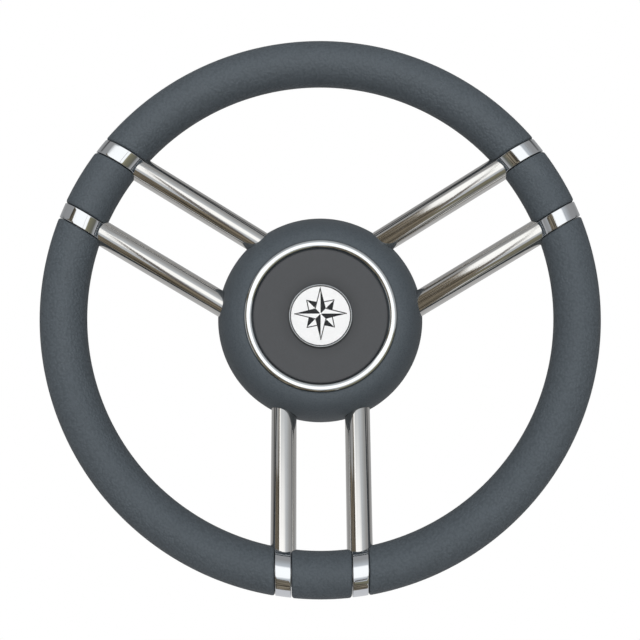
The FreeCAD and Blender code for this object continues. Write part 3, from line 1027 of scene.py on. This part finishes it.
class WHEEL_OT_rear_cover(bpy.types.Operator):
    """Model the plate that closes the back of the hub, and its screws"""
    bl_idname = "wheel.rear_cover"
    bl_label = "Rear cover and screws"

    def execute(self, context):
        hub = settings("hub")
        edge = hub.cover - hub.cover_round
        outline = rounded((edge, 0.0), (hub.cover, 0.0), (hub.cover, hub.cover_round))
        outline += [(hub.cover, hub.cover_thick), (hub.cover_hole, hub.cover_thick),
                    (hub.cover_hole, 0.0)]
        piece = as_object("moulded_rear_cover", spun(outline, steps=160))
        carve(piece, screw_hole_cutter())
        plastic = moulded_plastic("Rear plastic", settings("finishes").rear,
                                  grain=1400.0, depth=0.05 * MM, roughness=0.55)
        finish(piece, plastic, ["rear_cover"])
        self.screws(hub)
        return {"FINISHED"}

    def screws(self, hub):
        piece = as_object("countersunk_screws", screw_shape(0.0))
        wide, narrow = hub.screw_shank, hub.screw_slot / 2
        bottom = -SCREW_SPAN[0] - hub.screw_slot_depth
        for angle in SCREW_ANGLES:
            for turn in (0.0, 90.0):
                slot = bmesh.new()
                add_block(slot, (-wide, bottom, -narrow), (wide, hub.cover_round, narrow), turn)
                bmesh.ops.translate(slot, verts=slot.verts,
                                    vec=outward(angle) * hub.screw_circle)
                carve(piece, slot)
        finish(piece, plain_steel(), ["rear_cover_screws"])


class WHEEL_OT_hidden_steel(bpy.types.Operator):
    """Give the steel inside the wheel its finish"""
    bl_idname = "wheel.hidden_steel"
    bl_label = "Core, drum and bush"

    def execute(self, context):
        for name in ("rim_core", "hub_drum", "taper_bush"):
            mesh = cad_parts[name].data
            mesh.materials.clear()
            mesh.materials.append(plain_steel())
        return {"FINISHED"}


# Front of the hub

class WHEEL_OT_trim_ring(bpy.types.Operator):
    """Model the bright, low-crowned ring round the cap"""
    bl_idname = "wheel.trim_ring"
    bl_label = "Trim ring"

    def execute(self, context):
        front = settings("front")
        floor = settings("hub").floor
        inside = front.ring - front.ring_width
        outline = crowned(front.ring, inside, front.ring_crest, front.ring_crown)
        outline += [(inside, floor), (front.ring, floor)]
        piece = as_object("bright_trim_ring", spun(outline, steps=256))
        finish(piece, trim_chrome(), ["trim_ring"])
        return {"FINISHED"}


class WHEEL_OT_centre_cap(bpy.types.Operator):
    """Model the dished cap with its snap skirt"""
    bl_idname = "wheel.centre_cap"
    bl_label = "Centre cap"

    def execute(self, context):
        front = settings("front")
        floor = settings("hub").floor
        pocket = front.bezel + settings("rim").mould_gap
        dish = front.cap_edge - front.cap_dish
        edge = front.cap - front.cap_round
        bead = front.skirt + front.snap_height
        inside = front.skirt - front.skirt_wall
        underside = front.bezel_seat - front.cap_plate
        snap_end = front.snap_start + front.snap_width
        outline = swelling((pocket, dish), (pocket + front.cap_ease, front.cap_edge),
                           (edge, front.cap_edge), steps=24)
        outline += rounded((edge, front.cap_edge), (front.cap, front.cap_edge),
                           (front.cap, front.cap_edge - front.cap_round), steps=8)[1:]
        outline += [(front.cap, floor), (front.skirt, floor), (front.skirt, snap_end),
                    (bead, snap_end - front.snap_height),
                    (bead, front.snap_start + front.snap_height),
                    (front.skirt, front.snap_start), (front.skirt, front.skirt_end),
                    (inside, front.skirt_end), (inside, underside), (0.0, underside)]
        outline = [(0.0, front.bezel_seat), (pocket, front.bezel_seat)] + outline
        piece = as_object("dished_centre_cap", spun(outline, steps=192, closed=False))
        slots = bmesh.new()
        low = (inside - front.skirt_wall, -floor + front.cap_plate, -front.slot_width / 2)
        high = (bead + front.skirt_wall, -front.skirt_end + front.skirt_wall,
                front.slot_width / 2)
        for step in range(SKIRT_SLOTS):
            add_block(slots, low, high, 360.0 / SKIRT_SLOTS * step)
        carve(piece, slots)
        # The cap's colour is darkened round the emblem: painted shade of the dish.
        plastic = moulded_plastic("Cap plastic", settings("finishes").cap,
                                  grain=1500.0, depth=0.04 * MM, roughness=0.5,
                                  shade_from=front.bezel,
                                  shade_to=front.bezel + 2 * front.cap_ease)
        finish(piece, plastic, ["centre_cap"])
        return {"FINISHED"}


class WHEEL_OT_emblem(bpy.types.Operator):
    """Model the emblem: bezel, white face and compass rose"""
    bl_idname = "wheel.emblem"
    bl_label = "Emblem"

    def execute(self, context):
        self.bezel()
        self.face()
        self.rose()
        return {"FINISHED"}

    def bezel(self):
        front = settings("front")
        inside = front.bezel - front.bezel_wall
        floor = front.bezel_seat + front.bezel_floor
        crown = front.bezel_wall / 2
        outline = crowned(front.bezel, inside, front.bezel_crest, crown, steps=12)
        outline += [(inside, floor), (0.0, floor)]
        outline = [(0.0, front.bezel_seat), (front.bezel, front.bezel_seat)] + outline
        piece = as_object("emblem_bezel_cup", spun(outline, steps=160, closed=False))
        finish(piece, bezel_chrome(groove=inside), ["emblem_bezel"])

    def face(self):
        front = settings("front")
        floor = front.bezel_seat + front.bezel_floor
        edge = front.face - front.face_round
        outline = [(0.0, floor), (front.face, floor)]
        outline += rounded((front.face, front.face_front - front.face_round),
                           (front.face, front.face_front), (edge, front.face_front), steps=4)
        outline += [(0.0, front.face_front)]
        piece = as_object("emblem_white_face", spun(outline, steps=128, closed=False))
        white = gloss_enamel("White enamel", settings("finishes").white)
        finish(piece, white, ["emblem_face"])

    def rose(self):
        front = settings("front")
        shape = bmesh.new()
        for quarter in range(4):
            angle = 2 * EIGHTH_TURN * quarter
            beside = angle + EIGHTH_TURN
            add_plate(shape, long_half(angle))
            add_plate(shape, short_half(beside))
            add_plate(shape, line_between(rose_point(front.rose_long, angle),
                                          rose_point(front.rose_waist, beside)))
            add_plate(shape, line_between(rose_point(front.rose_short, beside),
                                          short_foot(beside, 1)))
        piece = as_object("compass_rose_print", shape)
        ink = gloss_enamel("Rose ink", settings("finishes").ink)
        finish(piece, ink, ["compass_rose"])


def rose_point(radius, angle):
    """Point on the emblem's face, from the rose's centre."""
    front = settings("front")
    return outward(angle) * radius + Vector((0.0, -front.face_front, front.rose_rise))


def long_half(angle):
    """Dark clockwise half of a long point."""
    front = settings("front")
    hair = front.rose_line
    beside = angle - EIGHTH_TURN
    return [rose_point(hair, angle), rose_point(front.rose_long, angle),
            rose_point(front.rose_waist, beside), rose_point(hair, beside)]


def short_foot(angle, turn):
    """Where a short point's side meets the side of the long point beside it."""
    front = settings("front")
    tip = rose_point(front.rose_short, angle)
    notch = rose_point(front.rose_short_waist, angle + EIGHTH_TURN * turn)
    long_tip = rose_point(front.rose_long, angle + EIGHTH_TURN * turn)
    waist = rose_point(front.rose_waist, angle)
    return meeting(tip, notch, long_tip, waist)


def meeting(first, second, third, fourth):
    """Point where the line through two points meets the line through two others, in XZ."""
    run = second - first
    other = fourth - third
    across = other.x * run.z - other.z * run.x
    gap = third - first
    share = (other.x * gap.z - other.z * gap.x) / across
    return first + run * share


def short_half(angle):
    """Dark clockwise half of a short point, outside the long points."""
    front = settings("front")
    return [rose_point(front.rose_waist + front.rose_line, angle),
            rose_point(front.rose_short, angle), short_foot(angle, -1)]


def line_between(start, end):
    """Thin printed line between two points."""
    front = settings("front")
    along = (end - start).normalized()
    across = Vector((-along.z, 0.0, along.x)) * front.rose_line / 2
    return [start - across, end - across, end + across, start + across]


def add_plate(shape, points):
    """Adds a thin printed plate with the given outline on the emblem's face."""
    thick = settings("front").rose_thick
    corners = [shape.verts.new(point) for point in points]
    plate = shape.faces.new(corners)
    made = bmesh.ops.extrude_face_region(shape, geom=[plate])
    raised = [item for item in made["geom"] if isinstance(item, bmesh.types.BMVert)]
    bmesh.ops.translate(shape, verts=raised, vec=(0.0, -thick, 0.0))
    bmesh.ops.recalc_face_normals(shape, faces=shape.faces)


# Stage

# The floor turns white between two shares of its radius, from a share of white on
FADE_START, FADE_END = 0.3, 0.9
FADE_FROM = 0.62
FLOOR_GREY = (0.82, 0.82, 0.82, 1.0)
COOL_WHITE = (0.96, 0.98, 1.0, 1.0)
WHITE = (1.0, 1.0, 1.0, 1.0)


class WHEEL_OT_stage(bpy.types.Operator):
    """Set the pale floor, the mirrored surroundings, the lamps and the camera"""
    bl_idname = "wheel.stage"
    bl_label = "Stage"

    def execute(self, context):
        self.floor()
        self.world()
        self.dome()
        lamp("key_lamp", place=(-0.25, -1.75, 1.15), size=1.1, power=17.0)
        lamp("fill_lamp", place=(0.10, -2.1, -0.15), size=1.5, power=19.0)
        self.camera()
        context.scene.view_settings.view_transform = "Standard"
        return {"FINISHED"}

    def floor(self):
        """Pale floor that fades into the white behind it."""
        drop = settings("stage").floor_drop
        size = settings("stage").floor_size
        shape = bmesh.new()
        bmesh.ops.create_circle(shape, cap_ends=True, segments=96, radius=size,
                                matrix=Matrix.Translation((0.0, 0.0, -drop)))
        piece = as_object("floor", shape)
        material, output, place = bare_material("Pale floor")
        away = node(place.tree, "ShaderNodeVectorMath", {0: place, 1: (0.0, 0.0, -drop)},
                    operation="DISTANCE")
        fade = ranged(Output(away, "Value"), FADE_START * size, FADE_END * size, FADE_FROM, 1.0)
        matt = node(place.tree, "ShaderNodeBsdfDiffuse", {"Color": FLOOR_GREY})
        white = node(place.tree, "ShaderNodeEmission")
        feed(output, {"Surface": mixed(seen_directly(place.tree) * fade, matt, white)})
        piece.data.materials.append(material)
        piece.visible_glossy = False

    def world(self):
        """White behind everything, with a weak light of its own."""
        world = bpy.data.worlds.new("Studio")
        bpy.context.scene.world = world
        world.use_nodes = True
        tree = world.node_tree
        tree.nodes.clear()
        light = node(tree, "ShaderNodeBackground", {"Color": COOL_WHITE, "Strength": 0.20})
        white = node(tree, "ShaderNodeBackground", {"Color": WHITE})
        node(tree, "ShaderNodeOutputWorld",
             {"Surface": mixed(seen_directly(tree), light, white)})

    def dome(self):
        """Surroundings that only polished and glossy surfaces see."""
        shape = bmesh.new()
        bmesh.ops.create_uvsphere(shape, u_segments=48, v_segments=24, radius=DOME_RADIUS)
        bmesh.ops.reverse_faces(shape, faces=shape.faces)
        piece = as_object("mirror_dome", shape)
        material, output, place = bare_material("Mirror dome")
        glow = node(place.tree, "ShaderNodeEmission", {"Color": surroundings(place)})
        feed(output, {"Surface": Output(glow)})
        piece.data.materials.append(material)
        for ray in ("camera", "diffuse", "shadow", "transmission", "volume_scatter"):
            setattr(piece, "visible_" + ray, False)

    def camera(self):
        stage = settings("stage")
        middle = Vector((0.0, -settings("rim").forward, 0.0))
        drop, turn = stage.camera_drop, stage.camera_turn
        back = Vector((-math.sin(turn) * math.cos(drop), -math.cos(turn) * math.cos(drop),
                       -math.sin(drop)))
        data = bpy.data.cameras.new("camera")
        data.lens = stage.lens
        data.sensor_width = 36.0
        data.clip_end = 60.0
        camera = bpy.data.objects.new("camera", data)
        camera.location = middle + back * stage.camera_distance
        aim = middle - Vector((stage.aim_left, 0.0, stage.aim_drop))
        look = (aim - camera.location).to_track_quat("-Z", "Y").to_matrix().to_4x4()
        look = look @ Matrix.Rotation(stage.camera_roll, 4, "Z")
        camera.matrix_world = Matrix.Translation(camera.location) @ look
        bpy.context.scene.collection.objects.link(camera)
        bpy.context.scene.camera = camera


def seen_directly(tree):
    """1 for camera, mirror and glass rays, 0 for the rest."""
    path = node(tree, "ShaderNodeLightPath")
    mirrored = most(Output(path, "Is Camera Ray"), Output(path, "Is Glossy Ray"))
    return most(mirrored, Output(path, "Is Transmission Ray"))


# Surroundings: colours, and places in a mirror ball that is seen from the front. There
# 0 is straight ahead of the wheel, 1 is in the wheel's own plane, and what lies behind the
# wheel is past 1. A pair of places is the range over which an edge fades.
SKY = (
    (0.00, (0.43, 0.45, 0.47)), (0.36, (0.43, 0.45, 0.47)), (0.50, (0.33, 0.34, 0.345)),
    (0.65, (0.27, 0.27, 0.27)), (1.50, (0.24, 0.24, 0.24)), (2.40, (0.30, 0.30, 0.30)),
)
GROUND = (
    (0.00, (0.40, 0.39, 0.30)), (0.28, (0.30, 0.28, 0.19)), (0.40, (0.17, 0.16, 0.11)),
    (0.70, (0.11, 0.11, 0.09)), (0.86, (0.33, 0.33, 0.33)), (1.40, (0.36, 0.36, 0.36)),
    (2.40, (0.40, 0.40, 0.40)),
)
WHITE_SKY = (0.97, 0.975, 0.965, 1.0)
DARK_LINE = (0.06, 0.06, 0.06, 1.0)
PATH_GREY = (0.52, 0.52, 0.53, 1.0)
STAY_BROWN = (0.06, 0.045, 0.035, 1.0)
HOUSE_DARK = (0.03, 0.026, 0.02, 1.0)
HOUSE_LIGHT = (0.25, 0.215, 0.16, 1.0)
BRIGHTNESS = 1.27
DOME_RADIUS = 9.0
LEAST_SPREAD = 0.05
WOBBLE_SCALE, STREAK_SCALE = 9.0, 13.0
WOBBLE_OF_AWAY, WOBBLE_OF_EDGES = 0.08, 0.05
PATCH_MIDDLE, PATCH_HEIGHT, PATCH_WIDENING = -0.08, 0.04, 0.55
PATCH_REACH = (0.19, 0.29)
PATCH_LEFT_END = (-0.42, -0.39)
LEFT_TILT_START, LEFT_TILT = -0.2, 0.8
RIGHT_TILT_START, RIGHT_TILT = 0.15, 0.6
LINE_AWAY = 1.21
LINE_WIDTH = (0.10, 0.18)
GAP_SLOPE = 0.62
LINE_GAP = (0.12, 0.30)
SKYLINE_TOP, SKYLINE_DIP = -0.04, 0.36
SKYLINE_RIGHT_DROP, SKYLINE_RIGHT_SLOPE, SKYLINE_LEFT_SLOPE = 0.10, 1.2, -0.2
SKYLINE_EDGE = (0.0, 0.008)
PATH_WIDENING = 0.29
PATH_TOP = (-0.56, -0.54)
STAY_STRENGTH = 0.9
STAY_LEAN = math.radians(24.9)
STAY_MIDDLE, STAY_APART = 0.0042, 0.175
STAY_FOOT, STAY_TOP = -0.35, 0.06
STAY_FOOT_WIDTH, STAY_TOP_WIDTH = 0.017, 0.001
HOUSE_WALL = (-0.219, -0.216)
WALL_SLOPE, LOW_WALL_SLOPE, LOW_WALL_STEP = 0.605, 0.48, 0.012
WALL_WOBBLE = 0.25
HOUSE_ROOF = (0.268, 0.276)
ROOF_STEP = (-0.48, -0.45)
ROOF_STEP_HEIGHT = 0.12
HOUSE_FOOT = (-0.50, -0.46)
FOOT_LEFT_HEIGHT, FOOT_RIGHT_HEIGHT = 0.19, -1.0
HOUSE_RIM = (0.90, 0.96)


def ramp(source, stops):
    """Colour that changes along a list of (place, colour) stops."""
    top = stops[-1][0]
    made = node(source.tree, "ShaderNodeValToRGB", {"Fac": rising(source, 0.0, top)})
    marks = made.color_ramp.elements
    marks[0].color = stops[0][1] + (1.0,)
    marks[1].color = stops[-1][1] + (1.0,)
    for place, shade in stops[1:-1]:
        marks.new(place / top).color = shade + (1.0,)
    return Output(made, "Color")


def surroundings(place):
    """Bright sky in front, a skyline and a house to the left, and plain ground behind."""
    direction = node(place.tree, "ShaderNodeVectorMath", {0: place}, operation="NORMALIZE")
    parts = node(place.tree, "ShaderNodeSeparateXYZ", {0: Output(direction)})
    spread = most(Output(parts, "Y") * -1.0 + 1.0, LEAST_SPREAD)
    across = Output(parts, "X") / spread
    up = Output(parts, "Z") / spread
    ball = Output(node(place.tree, "ShaderNodeCombineXYZ", {"X": across, "Y": up}))
    wobble = noise(ball, WOBBLE_SCALE) - 0.5
    away = distance(across, up) + wobble * WOBBLE_OF_AWAY
    edge = wobble * WOBBLE_OF_EDGES
    streaks = noise(ball, STREAK_SCALE, detail=4.0, roughness=0.65)

    seen = ramp(away, SKY)
    seen = between(bright_patch(across, up), seen, WHITE_SKY)
    seen = between(tree_line(across, up, away), seen, DARK_LINE)
    ground = between(pale_path(across, up), ramp(away, GROUND), PATH_GREY)
    seen = between(below_skyline(across, up, edge), seen, ground)
    seen = between(stays(across, up) * STAY_STRENGTH, seen, STAY_BROWN)
    house = between(rising(streaks, 0.42, 0.62), HOUSE_DARK, HOUSE_LIGHT)
    seen = between(house_front(across, up, away, edge), seen, house)
    return Output(node(place.tree, "ShaderNodeVectorMath", {0: seen, "Scale": BRIGHTNESS},
                       operation="SCALE"))


def bright_patch(across, up):
    """White part of the sky: wide, low at the right and high at the left, up to an edge."""
    left_tilt = least(across - LEFT_TILT_START, 0.0) * LEFT_TILT
    right_tilt = most(across - RIGHT_TILT_START, 0.0) * RIGHT_TILT
    tilted = (up - PATCH_HEIGHT) + (left_tilt + right_tilt)
    widened = (across - PATCH_MIDDLE) * PATCH_WIDENING
    white = falling(distance(widened, tilted), *PATCH_REACH, "SMOOTHSTEP")
    return white * rising(across, *PATCH_LEFT_END)


def tree_line(across, up, away):
    """Dark line all round beside the wheel, with gaps to the upper left and right."""
    line = falling(abs(away - LINE_AWAY), *LINE_WIDTH)
    gap = abs(up - abs(across) * GAP_SLOPE)
    return line * rising(gap, *LINE_GAP)


def below_skyline(across, up, edge):
    """1 below the skyline, which dips in the middle and rises to the right."""
    right = across * SKYLINE_RIGHT_SLOPE - SKYLINE_RIGHT_DROP
    left = across * SKYLINE_LEFT_SLOPE
    skyline = least(most(right, left) - SKYLINE_DIP, SKYLINE_TOP)
    return falling(up - (skyline + edge), *SKYLINE_EDGE)


def pale_path(across, up):
    """1 on a pale path that widens downwards, below the wheel."""
    beside = abs(across) + up * PATH_WIDENING
    return (beside < 0.0) * falling(up, *PATH_TOP)


def stays(across, up):
    """1 on two thin dark stays that lean outwards from the ground on both sides."""
    beside = abs(across - STAY_MIDDLE) * math.cos(STAY_LEAN)
    off = beside - up * math.sin(STAY_LEAN) - STAY_APART
    return abs(off) < ranged(up, STAY_FOOT, STAY_TOP, STAY_FOOT_WIDTH, STAY_TOP_WIDTH)


def house_front(across, up, away, edge):
    """1 where a house stands at the left, up to its roof, high at its right end."""
    lean = least(up * WALL_SLOPE, up * LOW_WALL_SLOPE + LOW_WALL_STEP)
    inside = falling(across + lean + edge * WALL_WOBBLE, *HOUSE_WALL)
    roof = edge + rising(across, *ROOF_STEP) * ROOF_STEP_HEIGHT
    below = falling(up - roof, *HOUSE_ROOF)
    above = up > ranged(across, *HOUSE_FOOT, FOOT_LEFT_HEIGHT, FOOT_RIGHT_HEIGHT)
    return inside * below * above * falling(away, *HOUSE_RIM)


def lamp(name, place, size, power):
    """Soft square lamp that points at the wheel and isn't mirrored in it."""
    data = bpy.data.lights.new(name, "AREA")
    data.size = size
    data.energy = power
    light = bpy.data.objects.new(name, data)
    light.location = place
    light.rotation_mode = "QUATERNION"
    light.rotation_quaternion = (-Vector(place)).to_track_quat("-Z", "Y")
    light.visible_glossy = False
    bpy.context.scene.collection.objects.link(light)


OPERATORS = (
    WHEEL_OT_grips, WHEEL_OT_bands, WHEEL_OT_spokes, WHEEL_OT_hub_shell,
    WHEEL_OT_rear_cover, WHEEL_OT_hidden_steel, WHEEL_OT_trim_ring,
    WHEEL_OT_centre_cap, WHEEL_OT_emblem, WHEEL_OT_stage,
)


class WHEEL_PT_pieces(bpy.types.Panel):
    """Lists the wheel's pieces in the sidebar"""
    bl_idname = "WHEEL_PT_pieces"
    bl_label = "Boat steering wheel"
    bl_space_type = "VIEW_3D"
    bl_region_type = "UI"
    bl_category = "Wheel"

    def draw(self, context):
        for operator in OPERATORS:
            self.layout.operator(operator.bl_idname)
        for name, group in GROUPS.items():
            box = self.layout.box()
            box.label(text=group.__name__)
            for key in group.__annotations__:
                box.prop(getattr(context.scene, name), key)


def register():
    for name, group in GROUPS.items():
        bpy.utils.register_class(group)
        setattr(bpy.types.Scene, name, bpy.props.PointerProperty(type=group))
    for operator in OPERATORS:
        bpy.utils.register_class(operator)
    bpy.utils.register_class(WHEEL_PT_pieces)


def unregister():
    bpy.utils.unregister_class(WHEEL_PT_pieces)
    for operator in reversed(OPERATORS):
        bpy.utils.unregister_class(operator)
    for name, group in reversed(GROUPS.items()):
        delattr(bpy.types.Scene, name)
        bpy.utils.unregister_class(group)


def main():
    register()
    bpy.ops.wheel.grips()
    bpy.ops.wheel.bands()
    bpy.ops.wheel.spokes()
    bpy.ops.wheel.hub_shell()
    bpy.ops.wheel.rear_cover()
    bpy.ops.wheel.hidden_steel()
    bpy.ops.wheel.trim_ring()
    bpy.ops.wheel.centre_cap()
    bpy.ops.wheel.emblem()
    bpy.ops.wheel.stage()


if __name__ == "__main__":
    main()
